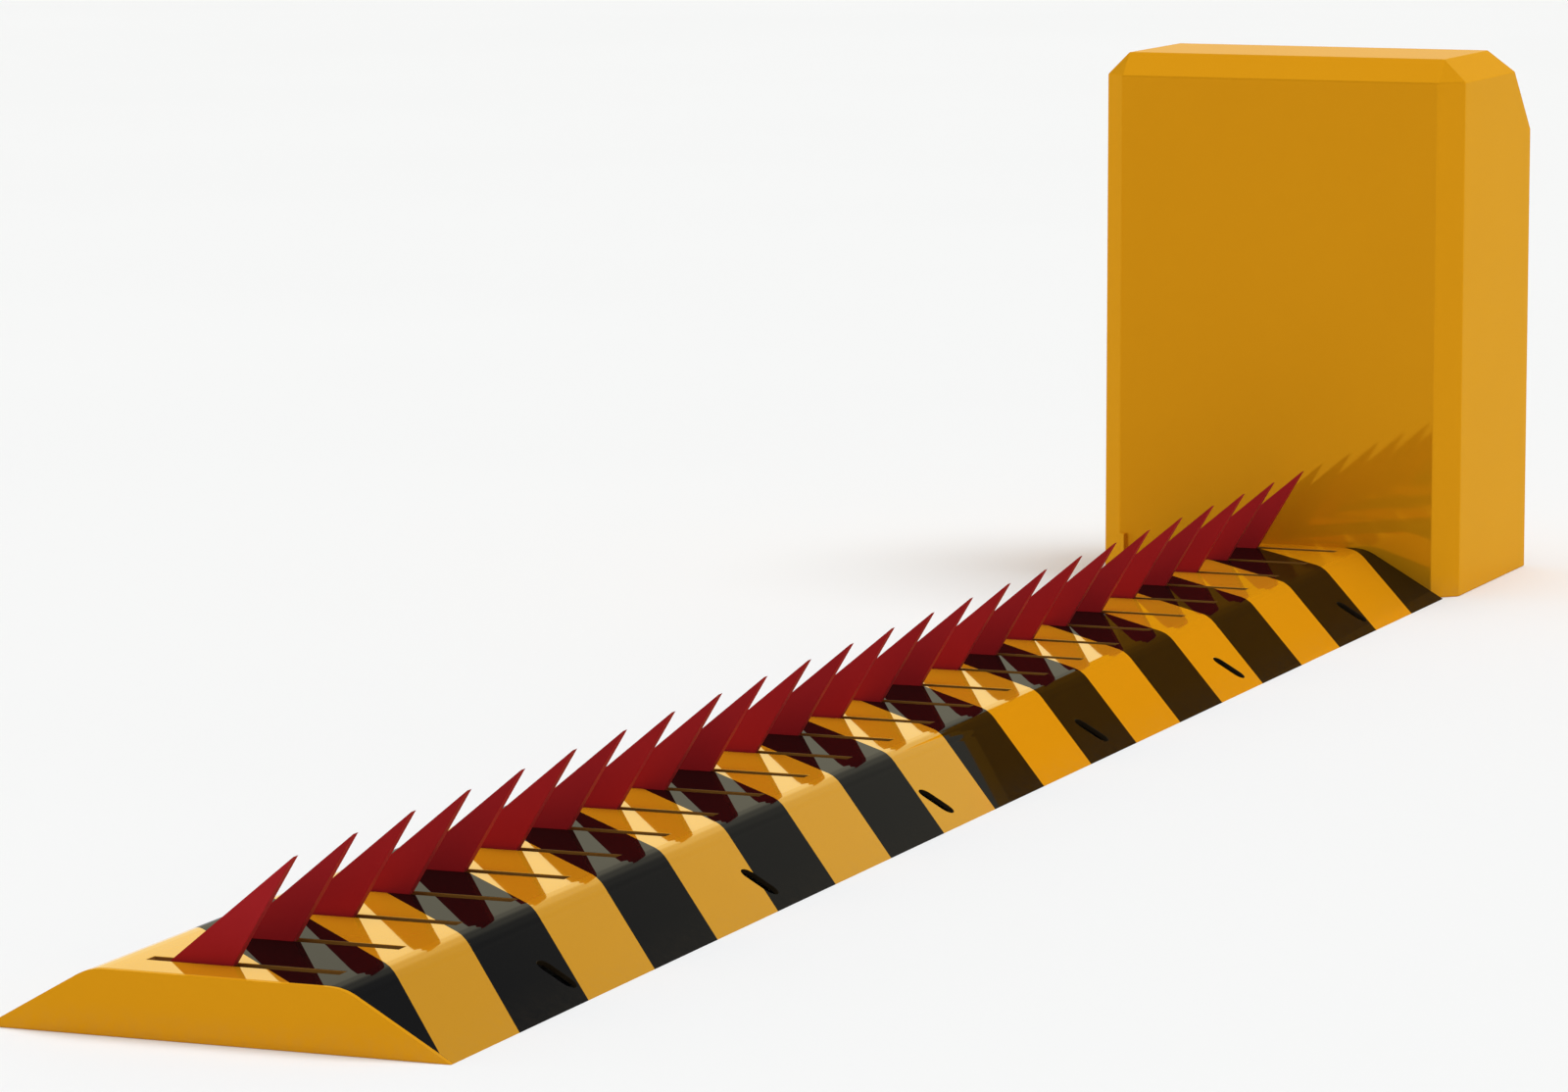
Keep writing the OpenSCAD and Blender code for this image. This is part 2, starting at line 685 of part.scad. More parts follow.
// Worm gearbox: round wheel case, upright worm case and the flange for the motor
module gearbox_housing() placed() color(cast_grey) difference() {
    union() {
        translate([bracket_rear, shaft_y, output_z]) rod_along_x(gearbox_r, gearbox_d);
        translate([bracket_front, shaft_y, output_z]) rod_along_x(gearbox_hub_r, bracket_t + play);
        translate([motor_x - worm_w / 2, motor_y - worm_w / 2, output_z - worm_down])
        cube([worm_w, worm_w, worm_down + worm_up + flange_t / 2]);
        translate([motor_x, motor_y, flange_z]) cylinder(r = flange_r, h = flange_t);
    }
    translate([bracket_front, shaft_y, output_z])
    hole_along_x(output_r + run_gap, bracket_t + gearbox_d);
    for (dy = [-1, 1], dz = [-1, 1])
        translate([bracket_rear - overrun, shaft_y + dy * gear_bolt_off, output_z + dz * gear_bolt_off])
        rod_along_x(bolt_r, bolt_depth + overrun);
}

// Finned motor that stands on the gearbox
module motor_housing() placed() color(grey_paint) translate([motor_x, motor_y, motor_z]) {
    cylinder(r = flange_r, h = flange_t);
    cylinder(r = motor_r, h = flange_t + motor_l);
    for (k = [0 : fin_count - 1])
        rotate(360 * k / fin_count)
        translate([motor_r * grip_share, -fin_t / 2, flange_t / 2])
        cube([cowl_r - motor_r * grip_share, fin_t, motor_l + flange_t / 2]);
}

// Moulded cap over the motor's fan, with a ring of air holes
module motor_fan_cowl() placed() color(black_rubber) translate([motor_x, motor_y, cowl_z]) difference() {
    cylinder(r = cowl_r, h = cowl_l);
    translate([0, 0, -overrun]) cylinder(r = cowl_r - cowl_t, h = cowl_l - cowl_t + overrun);
    for (k = [0 : cowl_holes - 1])
        rotate(360 * k / cowl_holes)
        translate([cowl_r / 2 + cowl_hole_r, 0, cowl_l - cowl_t]) hole_up(cowl_hole_r, cowl_t);
}

module motor_terminal_box() placed() color(grey_paint)
    translate([motor_x - terminal_w / 2, motor_y - cowl_r - terminal_d, cowl_z - play - terminal_h]) {
        translate([0, terminal_lid_d, 0]) cube([terminal_w, terminal_d - terminal_lid_d, terminal_h]);
        translate([play, 0, play]) cube([terminal_w - 2 * play, terminal_d / 2, terminal_h - 2 * play]);
    }

module output_shaft() placed() color(bare_steel)
    translate([arm_front - play, shaft_y, output_z])
    rod_along_x(output_r, bracket_rear + gearbox_d + 2 * play - arm_front);

// Flat arm on a shaft of radius r at height z, with a boss for a link pin
module arm(r, z) translate([arm_front, shaft_y, z]) along_x(arm_t) difference() {
    union() {
        circle(arm_hub_r);
        rotate(180 - arm_angle) {
            translate([0, -arm_w / 2]) square([arm_l, arm_w]);
            translate([arm_l, 0]) circle(arm_boss_r);
        }
    }
    circle(r + seat_gap);
    rotate(180 - arm_angle) translate([arm_l, 0]) circle(pin_r + seat_gap);
}

// Headed pin through an arm's boss and a rod end
module link_pin(z) translate([pin_front, pin_y, z]) {
    rod_along_x(pin_head_r, pin_head_t);
    rod_along_x(pin_r, arm_front + arm_t - pin_front);
}

module crank_arm() placed() color(bare_steel) arm(output_r, output_z);

module crank_pin() placed() color(bare_steel) link_pin(pin_z + link_l);

module shaft_lever() placed() color(bare_steel) arm(shaft_r, shaft_z);

module lever_pin() placed() color(bare_steel) link_pin(pin_z);

// Upright rod, as long between its eyes as the two shafts are apart
module connecting_rod() placed() color(bare_steel) translate([rod_mid, pin_y, pin_z]) difference() {
    inset = rod_shank_l - rod_thread_l;
    translate([0, 0, inset]) cylinder(r = rod_r, h = link_l - 2 * inset);
    for (z = [inset - overrun, link_l - rod_shank_l])
        translate([0, 0, z]) cylinder(r = rod_shank_r + seat_gap, h = rod_thread_l + overrun);
}

// Eye with a threaded shank that points up
module rod_end(bore_r) difference() {
    union() {
        translate([-rod_end_t / 2, 0, 0]) rod_along_x(rod_end_r, rod_end_t);
        cylinder(r = rod_shank_r, h = rod_shank_l - seat_gap);
    }
    translate([-rod_end_t / 2, 0, 0]) hole_along_x(bore_r, rod_end_t);
}

module rod_ends() placed() color(bare_steel) translate([rod_mid, pin_y, pin_z]) {
    rod_end(pin_r + free_eye_gap);
    translate([0, 0, link_l]) rotate([180, 0, 0]) rod_end(pin_r + run_gap);
}

// Round sensors clamped in the bracket by two nuts, facing the lever raised and lowered
module position_sensors() placed() color(bronze)
    for (p = sensor_places) translate([0, p[0], p[1]]) {
        translate([arm_front + arm_t + sensor_gap, 0, 0]) rod_along_x(sensor_r, sensor_l);
        for (x = [bracket_front - sensor_nut_t, bracket_rear])
            translate([x, 0, 0]) rotate([0, 90, 0]) cylinder(r = sensor_nut_r, h = sensor_nut_t, $fn = 6);
    }

// Box on the cabinet's side wall, open towards the middle
module control_box() placed() color(grey_paint) translate([strip_l + control_x, -half_in, control_z])
    difference() {
        cube([control_w, control_d - control_lid_t, control_h]);
        translate([control_t, control_t, control_t])
        cube([control_w - 2 * control_t, control_d, control_h - 2 * control_t]);
        gland_places() hole_up(gland_bore_r, control_t);
    }

// Repeats its children along the underside of the control box
module gland_places()
    for (k = [1 : gland_count])
        translate([control_w * k / (gland_count + 1), control_d / 2, 0]) children();

module control_box_lid() placed() color(cast_grey)
    translate([strip_l + control_x, control_d - control_lid_t - half_in, control_z]) {
        cube([control_w, control_lid_t / 2, control_h]);
        translate([control_lid_t, 0, control_lid_t])
        cube([control_w - 2 * control_lid_t, control_lid_t, control_h - 2 * control_lid_t]);
    }

module cable_glands() placed() color(black_rubber)
    translate([strip_l + control_x, -half_in, control_z]) gland_places() mirror([0, 0, 1]) difference() {
        union() {
            cylinder(r = gland_r, h = gland_hex_l, $fn = 6);
            cylinder(r = gland_cap_r, h = gland_l);
        }
        hole_up(gland_bore_r, gland_l);
    }

// Box of a door-sized frame, inset by t on its four edges, from x0 to x1
module door_block(t, x0, x1)
    translate([x0, t - door_w / 2, door_z + t]) cube([x1 - x0, door_w - 2 * t, door_h - 2 * t]);

// Tray that closes over the rear opening
module rear_door() placed() color(signal_yellow) difference() {
    door_block(0, door_front, door_rear);
    door_block(door_t, door_front - overrun, door_rear - door_t);
    translate([door_rear - door_t, lock_y, lock_z]) hole_along_x(lock_r + run_gap, door_t);
}

module door_seal() placed() color(black_rubber) difference() {
    door_block(door_t + seat_gap, rear_x + seal_gap, door_rear - door_t);
    door_block(door_t + seal_w, rear_x + seal_gap - overrun, door_rear);
}

// Leaves that lie on the door and reach the pin between the fixed knuckles
module door_hinge_leaves() placed() color(bare_steel) for (z = hinge_zs) difference() {
    tongue_l = knuckle_l - 2 * side_gap;
    union() {
        translate([door_rear, door_w / 2 - leaf_w, z]) cube([leaf_t, leaf_w, hinge_l]);
        translate([door_rear, door_w / 2 - leaf_w, z + knuckle_l + side_gap])
        cube([leaf_t, leaf_w + hinge_out, tongue_l]);
        translate([hinge_x, hinge_y, z + knuckle_l + side_gap]) cylinder(r = knuckle_r, h = tongue_l);
    }
    translate([hinge_x, hinge_y, z]) hole_up(hinge_pin_r + run_gap, hinge_l);
}

// Leaves on the cabinet's rear face, with a web out to each fixed knuckle
module frame_hinge_leaves() placed() color(bare_steel) for (z = hinge_zs) difference() {
    union() {
        translate([rear_x, hinge_y - play, z]) cube([leaf_t, frame_leaf_w, hinge_l]);
        for (knuckle_z = [z, z + 2 * knuckle_l]) {
            translate([rear_x, hinge_y + play, knuckle_z]) cube([hinge_x - rear_x, leaf_t, knuckle_l]);
            translate([hinge_x, hinge_y, knuckle_z]) cylinder(r = knuckle_r, h = knuckle_l);
        }
    }
    translate([hinge_x, hinge_y, z]) hole_up(hinge_pin_r + seat_gap, hinge_l);
}

module hinge_pins() placed() color(bare_steel)
    for (z = hinge_zs) translate([hinge_x, hinge_y, z]) cylinder(r = hinge_pin_r, h = hinge_l);

// Barrel through the door with a wing grip outside, drawn unlocked
module lock_handle() placed() color(black_rubber) translate([0, lock_y, lock_z]) {
    translate([cam_front, 0, 0]) rod_along_x(lock_r, rosette_front + lock_rosette_t / 2 - cam_front);
    translate([rosette_front, 0, 0]) rod_along_x(lock_rosette_r, lock_rosette_t);
    translate([rosette_front + lock_rosette_t / 2, -lock_grip_t / 2, -lock_grip_l / 2])
    cube([lock_grip_h + lock_rosette_t / 2, lock_grip_t, lock_grip_l]);
}

// Cam on the barrel, which a quarter turn swings behind the rear sheet
module lock_cam() placed() color(bare_steel)
    translate([cam_front, lock_y, lock_z]) along_x(cam_t) difference() {
        union() {
            circle(cam_boss_r);
            translate([-cam_w / 2, 0]) square([cam_w, cam_l]);
        }
        circle(lock_r + seat_gap);
    }

hump_cover();
base_rails();
cross_ribs();
free_end_plate();
drive_end_plate();
shaft_bushes();
spike_shaft();
hub_screws();
for (i = [1 : spike_count])
    spike(i);
cabinet_base_plate();
cabinet_shell();
cabinet_bolts();
corner_gusset();
drive_bracket();
gearbox_housing();
motor_housing();
motor_fan_cowl();
motor_terminal_box();
output_shaft();
crank_arm();
crank_pin();
shaft_lever();
lever_pin();
connecting_rod();
rod_ends();
position_sensors();
control_box();
control_box_lid();
cable_glands();
rear_door();
door_seal();
door_hinge_leaves();
frame_hinge_leaves();
hinge_pins();
lock_handle();
lock_cam();
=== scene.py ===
"""Dresses the tyre spike strip: its paint, metal, plastic and rubber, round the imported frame."""

import bpy
import numpy as np
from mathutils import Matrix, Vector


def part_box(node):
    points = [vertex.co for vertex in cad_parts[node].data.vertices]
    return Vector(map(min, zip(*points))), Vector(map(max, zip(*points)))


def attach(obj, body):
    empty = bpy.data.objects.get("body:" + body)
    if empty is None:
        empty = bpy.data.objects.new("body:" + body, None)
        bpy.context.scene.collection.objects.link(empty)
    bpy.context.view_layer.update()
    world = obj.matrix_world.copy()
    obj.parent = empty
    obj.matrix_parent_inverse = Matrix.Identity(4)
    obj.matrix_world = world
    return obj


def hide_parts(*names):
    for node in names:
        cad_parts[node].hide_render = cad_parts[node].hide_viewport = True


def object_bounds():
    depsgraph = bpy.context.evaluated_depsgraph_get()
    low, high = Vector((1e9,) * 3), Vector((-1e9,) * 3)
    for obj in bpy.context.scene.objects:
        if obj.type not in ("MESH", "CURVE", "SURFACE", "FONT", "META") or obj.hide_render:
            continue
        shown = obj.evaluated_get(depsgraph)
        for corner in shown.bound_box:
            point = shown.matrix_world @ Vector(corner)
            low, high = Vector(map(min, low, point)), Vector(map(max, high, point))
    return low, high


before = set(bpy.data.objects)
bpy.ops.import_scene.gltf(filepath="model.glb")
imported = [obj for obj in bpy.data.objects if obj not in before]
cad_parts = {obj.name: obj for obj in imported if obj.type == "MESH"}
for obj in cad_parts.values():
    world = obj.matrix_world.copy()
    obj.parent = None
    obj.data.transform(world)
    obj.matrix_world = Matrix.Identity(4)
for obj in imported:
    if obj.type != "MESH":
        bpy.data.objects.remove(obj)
cad_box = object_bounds()

# Studio: a pale matt floor under a dim sky with a bright rim, one wide soft key lamp overhead and a
# weak fill from the far side. The camera looks along the strip from beyond its free end.
photo_w = 1600
focal_px = 6943.3
free_end = cad_box[0][0]
camera_place = (free_end - 5.0841, -2.5264, 1.1844)
camera_yaw = np.radians(21.55)
camera_pitch = np.radians(7.63)
camera_data = bpy.data.cameras.new("photo_camera")
camera_data.sensor_width = 36
camera_data.lens = camera_data.sensor_width * focal_px / photo_w
camera = bpy.data.objects.new("photo_camera", camera_data)
camera.location = camera_place
camera.rotation_euler = (np.pi / 2 - camera_pitch, 0, camera_yaw - np.pi / 2)
bpy.context.scene.collection.objects.link(camera)
bpy.context.scene.camera = camera
bpy.context.scene.view_settings.view_transform = "Standard"


class Signal:
    """An output of a shader node: sums of signals and numbers add Math nodes."""

    def __init__(self, tree, socket=None):
        self.tree = tree
        self.socket = socket

    def node(self, kind, settings, inputs, output=0):
        """Adds a node of a type, sets its settings, then its sockets' values or links."""
        made = self.tree.nodes.new("ShaderNode" + kind)
        for name, value in settings.items():
            setattr(made, name, value)
        for name, value in inputs.items():
            if isinstance(value, Signal):
                self.tree.links.new(value.socket, made.inputs[name])
            else:
                made.inputs[name].default_value = value
        return Signal(self.tree, made.outputs[output])

    def math(self, operation, first, second=0.0, clamp=False):
        settings = {"operation": operation, "use_clamp": clamp}
        return self.node("Math", settings, {0: first, 1: second})

    def __add__(self, other):
        return self.math("ADD", self, other)

    def __radd__(self, other):
        return self.math("ADD", other, self)

    def __sub__(self, other):
        return self.math("SUBTRACT", self, other)

    def __rsub__(self, other):
        return self.math("SUBTRACT", other, self)

    def __mul__(self, other):
        return self.math("MULTIPLY", self, other)

    def __rmul__(self, other):
        return self.math("MULTIPLY", other, self)

    def __truediv__(self, other):
        return self.math("DIVIDE", self, other)

    def __mod__(self, other):
        return self.math("FLOORED_MODULO", self, other)

    def __abs__(self):
        return self.math("ABSOLUTE", self)

    def clamped(self):
        return self.math("ADD", self, 0.0, clamp=True)


def axis_of(start, where, axis):
    """One axis of a vector: 0 for x, 1 for y, 2 for z."""
    return start.node("SeparateXYZ", {}, {"Vector": where}, output=axis)


def mixed(start, factor, first, second):
    """The first colour where factor is 0, the second where it is 1."""
    return start.node("Mix", {"data_type": "RGBA"}, {0: factor, 6: first, 7: second}, output=2)


# The sky is bright along the horizon and overhead, and dim between the two
horizon_rise = 0.18
dim_rise = 0.45
overhead_rise = 0.7
overhead_steepness = 6
horizon_light = (0.94, 0.88, 0.64, 1)
dim_light = (0.16, 0.165, 0.17, 1)
overhead_light = (0.66, 0.67, 0.69, 1)
world = bpy.data.worlds.new("soft_boxes")
world.use_nodes = True
sky = Signal(world.node_tree)
rise = axis_of(sky, sky.node("TexCoord", {}, {}, "Generated"), 2)
near_horizon = ((dim_rise - rise) / (dim_rise - horizon_rise)).clamped()
near_top = ((rise - overhead_rise) * overhead_steepness).clamped()
sky_light = mixed(sky, near_top, mixed(sky, near_horizon, dim_light, horizon_light), overhead_light)
world.node_tree.links.new(sky_light.socket, world.node_tree.nodes["Background"].inputs["Color"])
bpy.context.scene.world = world


def soft_lamp(name, energy, spread, turn, color=(1, 1, 1)):
    """A distant lamp as wide as spread degrees, turned by degrees, that no gloss shows."""
    lamp_data = bpy.data.lights.new(name, "SUN")
    lamp_data.energy = energy
    lamp_data.angle = np.radians(spread)
    lamp_data.color = color
    lamp = bpy.data.objects.new(name, lamp_data)
    lamp.rotation_euler = np.radians(turn)
    lamp.visible_glossy = False
    bpy.context.scene.collection.objects.link(lamp)


soft_lamp("key_lamp", energy=2.2, spread=50, turn=(14.5, 6, 0), color=(0.99, 0.99, 1))
soft_lamp("fill_lamp", energy=0.45, spread=60, turn=(-72, 0, 6))


def finish(name, **constants):
    """Makes a material and sets the constant sockets of its shader. Returns it with a bare signal,
    from which its nodes start, and with the surface's own coordinates in metres."""
    material = bpy.data.materials.new(name)
    material.use_nodes = True
    shader = material.node_tree.nodes["Principled BSDF"]
    for socket, value in constants.items():
        shader.inputs[socket.replace("_", " ")].default_value = value
    start = Signal(material.node_tree)
    return material, start, start.node("TexCoord", {}, {}, "Object")


def feed(material, **signals):
    """Links each signal to the shader's socket of that name."""
    shader = material.node_tree.nodes["Principled BSDF"]
    for socket, signal in signals.items():
        material.node_tree.links.new(signal.socket, shader.inputs[socket.replace("_", " ")])


def noise(start, where, scale, detail=3.0, rough=0.5):
    """Cloudy values about 0.5, with features 1 / scale metres wide."""
    return start.node("TexNoise", {}, {"Vector": where, "Scale": scale, "Detail": detail, "Roughness": rough})


floor_half = 150
floor_pale = (0.83, 0.835, 0.84, 1)
floor_paler = (0.85, 0.855, 0.86, 1)
floor_mesh = bpy.data.meshes.new("studio_floor")
floor_corners = floor_half * np.array([[-1, -1, 0], [1, -1, 0], [1, 1, 0], [-1, 1, 0]])
floor_mesh.from_pydata(floor_corners.tolist(), [], [(0, 1, 2, 3)])
studio_floor = bpy.data.objects.new("studio_floor", floor_mesh)
bpy.context.scene.collection.objects.link(studio_floor)
floor_paper, start, place = finish("floor_paper", Roughness=0.9)
feed(floor_paper, Base_Color=mixed(start, noise(start, place, 0.6), floor_pale, floor_paler))
floor_mesh.materials.append(floor_paper)

# Ground rails, ribs and drive end plate: steel plate, welded into one frame that is bolted to the road.
# It is primed and painted satin grey, and road grit has soiled the paint in patches.
MM = 0.001
grey = (0.155, 0.17, 0.18, 1)
pale_grey = (0.19, 0.20, 0.21, 1)
soil = (0.10, 0.085, 0.065, 1)


def bumped(start, height, depth):
    """A normal roughened by a height signal, depth metres deep."""
    return start.node("Bump", {}, {"Strength": 1.0, "Distance": depth, "Height": height})


def dress(material, *names):
    """Gives CAD nodes a material of their own."""
    for name in names:
        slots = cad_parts[name].data.materials
        slots.clear()
        slots.append(material)


grey_paint, start, place = finish("grey_paint", IOR=1.45)
cloud = noise(start, place, 9.0)
peel = noise(start, place, 380.0, detail=2.0)
grit = noise(start, place, 60.0, detail=6.0, rough=0.7)
soiled = (grit * 2.2 - 0.95).clamped() * 0.35
feed(grey_paint,
     Base_Color=mixed(start, soiled, mixed(start, cloud, grey, pale_grey), soil),
     Roughness=0.38 + cloud * 0.12 + soiled * 0.6,
     Normal=bumped(start, peel, 0.03 * MM))
dress(grey_paint, "base_rails", "cross_ribs", "drive_end_plate")

# Shaft bushes: plain bearings in the ribs, turned from bronze bar and pressed in.
# Fine tool marks run round them under a darker film of oil.
clean_bronze = (0.58, 0.36, 0.13, 1)
oiled_bronze = (0.40, 0.24, 0.09, 1)


def tool_marks(start, place, fineness, scale, detail=3.0, rough=0.5):
    """Noise drawn out into rings round the x axis, fineness times as fine along it as around it."""
    rings = start.node("VectorMath", {"operation": "MULTIPLY"}, {0: place, 1: (fineness, 1, 1)})
    return noise(start, rings, scale, detail, rough)


bronze, start, place = finish("turned_bronze", Metallic=1.0)
marks = tool_marks(start, place, 14, 200.0)
feed(bronze,
     Base_Color=mixed(start, noise(start, place, 60.0), clean_bronze, oiled_bronze),
     Roughness=0.25 + marks * 0.2,
     Normal=bumped(start, marks, 0.02 * MM))
dress(bronze, "shaft_bushes")

# Spike shaft and hub screws: one long bar of mild steel, turned and zinc plated, that runs in the bushes
# under the cover. Set screws lock every spike to it, and the plating has dull patches.
dull_zinc = (0.50, 0.51, 0.52, 1)
bright_zinc = (0.62, 0.62, 0.61, 1)
shaft_y = 106 * MM
shaft_z = 34 * MM
steel, start, place = finish("zinc_steel", Metallic=1.0)
cloud = noise(start, place, 30.0)
marks = tool_marks(start, place, 12, 160.0, detail=4.0, rough=0.6)
feed(steel,
     Base_Color=mixed(start, cloud, dull_zinc, bright_zinc),
     Roughness=0.22 + marks * 0.16 + cloud * 0.12,
     Normal=bumped(start, marks, 0.02 * MM))
dress(steel, "spike_shaft", "hub_screws")

# Spikes: 10 mm plates cut to a leaning point and welded to a hub that grips the shaft.
# Each is dipped in dark red enamel, thinner along its cut edges.
red = (0.42, 0.019, 0.025, 1)
deep_red = (0.36, 0.014, 0.020, 1)
thin_red = (0.46, 0.055, 0.05, 1)
spike_count = 25
first_spike = 60 * MM
spike_pitch = 120 * MM
spike_xs = free_end + first_spike + spike_pitch * np.arange(spike_count)
spike_t = 10 * MM
spike_edge_r = 0.8 * MM
hub_r = 16 * MM
hub_l = 40 * MM
hub_bore_r = 10.02 * MM
notch_share = 0.9
notch_steps = 25
rounded_from = np.radians(25)
creased_from = np.radians(40)
spike_front = np.array([[10.0, 56.5]]) * MM
spike_heel = np.array([[80.0, 48.4]]) * MM
spike_tip = np.array([[-49.0, 156.0]]) * MM
notch_turn = np.linspace(3 / 2 * np.pi, np.pi / 2, notch_steps)
notch = np.stack([shaft_y + hub_r * notch_share * np.cos(notch_turn),
                  shaft_z + hub_r * notch_share * np.sin(notch_turn)], 1)
spike_outline = np.concatenate([spike_front, notch, spike_heel, spike_tip])


def extruded(outline, low, high):
    """A flat outline of (y, z) points carried along x from low to high, with both ends closed."""
    count = len(outline)
    near = np.column_stack([np.full(count, low), outline])
    far = np.column_stack([np.full(count, high), outline])
    ring = np.arange(count)
    walls = np.stack([ring, np.roll(ring, -1), np.roll(ring, -1) + count, ring + count], 1)
    return np.concatenate([near, far]), [ring[::-1]] + list(walls) + [ring + count]


def tube(radius, bore, low, high, centre_y, centre_z, sides=48):
    """A tube along x: four rings, outer and inner at both ends, joined round the section."""
    turn = np.linspace(0, 2 * np.pi, sides, endpoint=False)
    reach = np.array([radius, radius, bore, bore])
    x = np.repeat(np.array([low, high, high, low]), sides)
    y = centre_y + (reach[:, None] * np.cos(turn)).ravel()
    z = centre_z + (reach[:, None] * np.sin(turn)).ravel()
    ring = np.arange(len(reach) * sides).reshape(-1, sides)
    after = np.roll(ring, -1, 0)
    faces = np.stack([ring, np.roll(ring, -1, 1), np.roll(after, -1, 1), after], 2)
    return np.stack([x, y, z], 1), list(faces.reshape(-1, 4))


def joined(*parts):
    """Several meshes as one: all their points, and their faces numbered on."""
    firsts = np.cumsum([0] + [len(points) for points, faces in parts])
    faces = [np.asarray(face) + first for (points, some), first in zip(parts, firsts) for face in some]
    return np.concatenate([points for points, some in parts]), faces


def add_piece(name, points, faces, body, slot, material, replaced=(), edge=0.0, steps=2):
    """Puts points and faces into a mesh that rides on a body, and rounds its sharp edges."""
    mesh = bpy.data.meshes.new(name)
    mesh.from_pydata(np.asarray(points).tolist(), [], [list(face) for face in faces])
    mesh.polygons.foreach_set("use_smooth", np.ones(len(mesh.polygons), bool))
    mesh.materials.append(material)
    piece = bpy.data.objects.new(name, mesh)
    bpy.context.scene.collection.objects.link(piece)
    if edge:
        bevel = piece.modifiers.new("rounded_edges", "BEVEL")
        bevel.width = edge
        bevel.segments = steps
        bevel.limit_method = "ANGLE"
        bevel.angle_limit = rounded_from
        bevel.use_clamp_overlap = True
        bevel.harden_normals = True
    mesh.set_sharp_from_angle(angle=creased_from)
    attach(piece, body)
    if replaced:
        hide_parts(*replaced)
    return piece


def mark_faces(piece, name, values):
    """Gives each face of a piece a value that its material can read by name."""
    piece.data.attributes.new(name, "FLOAT", "FACE").data.foreach_set("value", values)


red_paint, start, place = finish("red_paint", IOR=1.1)
cloud = noise(start, place, 14.0)
peel = noise(start, place, 500.0, detail=1.0)
along_blade = start.node("VectorMath", {"operation": "MULTIPLY"}, {0: place, 1: (1, 0.25, 1)})
scuff = noise(start, along_blade, 160.0, detail=5.0, rough=0.65)
cut_edge = start.node("Attribute", {"attribute_name": "cut_edge"}, {}, "Fac")
thin = ((scuff * 6 - 3.9).clamped() * 0.25 + cut_edge * (0.1 + scuff * 0.35)).clamped()
feed(red_paint,
     Base_Color=mixed(start, thin, mixed(start, cloud, red, deep_red), thin_red),
     Roughness=0.30 + cloud * 0.12 + thin * 0.3,
     Normal=bumped(start, peel, 0.014 * MM))
for number, x in enumerate(spike_xs, 1):
    blade = extruded(spike_outline[::-1], x - spike_t / 2, x + spike_t / 2)
    hub = tube(hub_r, hub_bore_r, x - hub_l / 2, x + hub_l / 2, shaft_y, shaft_z)
    spike = add_piece(f"spike_plate_{number:02d}", *joined(blade, hub), "spike_rotor", "red_paint",
                      red_paint, [f"spike_{number:02d}"], edge=spike_edge_r)
    face_number = np.arange(len(spike.data.polygons))
    mark_faces(spike, "cut_edge", ((face_number > 0) & (face_number <= len(spike_outline))) * 1.0)

# Hump cover: one 5 mm steel plate that makes the top and both ramps, each bend pressed in four strokes.
# It is slotted for the spikes, pierced above the ground anchors, and painted in gloss hazard stripes.
yellow = (0.93, 0.43, 0.008, 1)
sunned_yellow = (0.90, 0.41, 0.007, 1)
black = (0.0022, 0.0020, 0.0020, 1)
# A dark brown for the walls of the spikes' slots, darker than their yellow paint: painted shade inside the
# slots
slot_shade_brown = (0.30, 0.14, 0.03, 1)
# Near-black underseal on the cover's underside and on its cut edges off the flat; on the walls of the access
# slots this near-black also paints the shade inside the holes
underseal_and_shade = (0.02, 0.014, 0.008, 1)
gold_sheen = (1, 1, 0.35, 1)
dust = (0.33, 0.27, 0.19, 1)
strip_l = 2980 * MM
end_plate_t = 6 * MM
hump_w = 440 * MM
hump_h = 58 * MM
plate_t = 5 * MM
cover_edge_r = 0.7 * MM
ramp_angle = np.radians(30)
bend_r = 50 * MM
bend_l = bend_r * ramp_angle
flat_half = hump_w / 2 - hump_h / np.tan(ramp_angle) - bend_r * np.tan(ramp_angle / 2)
ramp_l = (hump_h - bend_r * (1 - np.cos(ramp_angle))) / np.sin(ramp_angle)
section_half = flat_half + bend_l + ramp_l
press_strokes = 4
stroke_pitch = 9 * MM
stroke_dent = 0.12 * MM
stroke_rows = 8


def hump_section(s, depth):
    """Section of the bent plate at unrolled distance s from its middle, depth under the outer face:
    flat, then an arc of radius bend_r through ramp_angle, then a straight ramp cut off at the ground.
    From the start of the arc on, each stroke of the press leaves a shallow dent, a sine squared deep."""
    side = np.sign(s)
    s = np.minimum(np.abs(s), section_half - depth / np.tan(ramp_angle))
    stroke = np.clip((s - flat_half) / stroke_pitch, 0, press_strokes)
    depth = depth + stroke_dent * np.sin(np.pi * stroke) ** 2
    turn = np.clip((s - flat_half) / bend_r, 0, ramp_angle)
    along = np.maximum(s - flat_half - bend_l, 0)
    y = np.minimum(s, flat_half) + (bend_r - depth) * np.sin(turn) + along * np.cos(turn)
    z = hump_h - bend_r + (bend_r - depth) * np.cos(turn) - along * np.sin(turn)
    return side * y, z


def thick_sheet(outer, inner, faces):
    """Closes a sheet: its outer faces, the same faces turned over on the inner points, and a wall
    along every edge that only one face uses."""
    count = len(outer)
    faces = [np.asarray(face) for face in faces]
    edges = np.concatenate([np.stack([face, np.roll(face, -1)], 1) for face in faces])
    edge_key = np.sort(edges, 1) @ np.array([count, 1])
    first, uses = np.unique(edge_key, return_index=True, return_counts=True)[1:]
    rim = edges[first[uses == 1]]
    walls = np.stack([rim[:, 1], rim[:, 0], rim[:, 0] + count, rim[:, 1] + count], 1)
    return np.concatenate([outer, inner]), faces + [face[::-1] + count for face in faces] + list(walls)


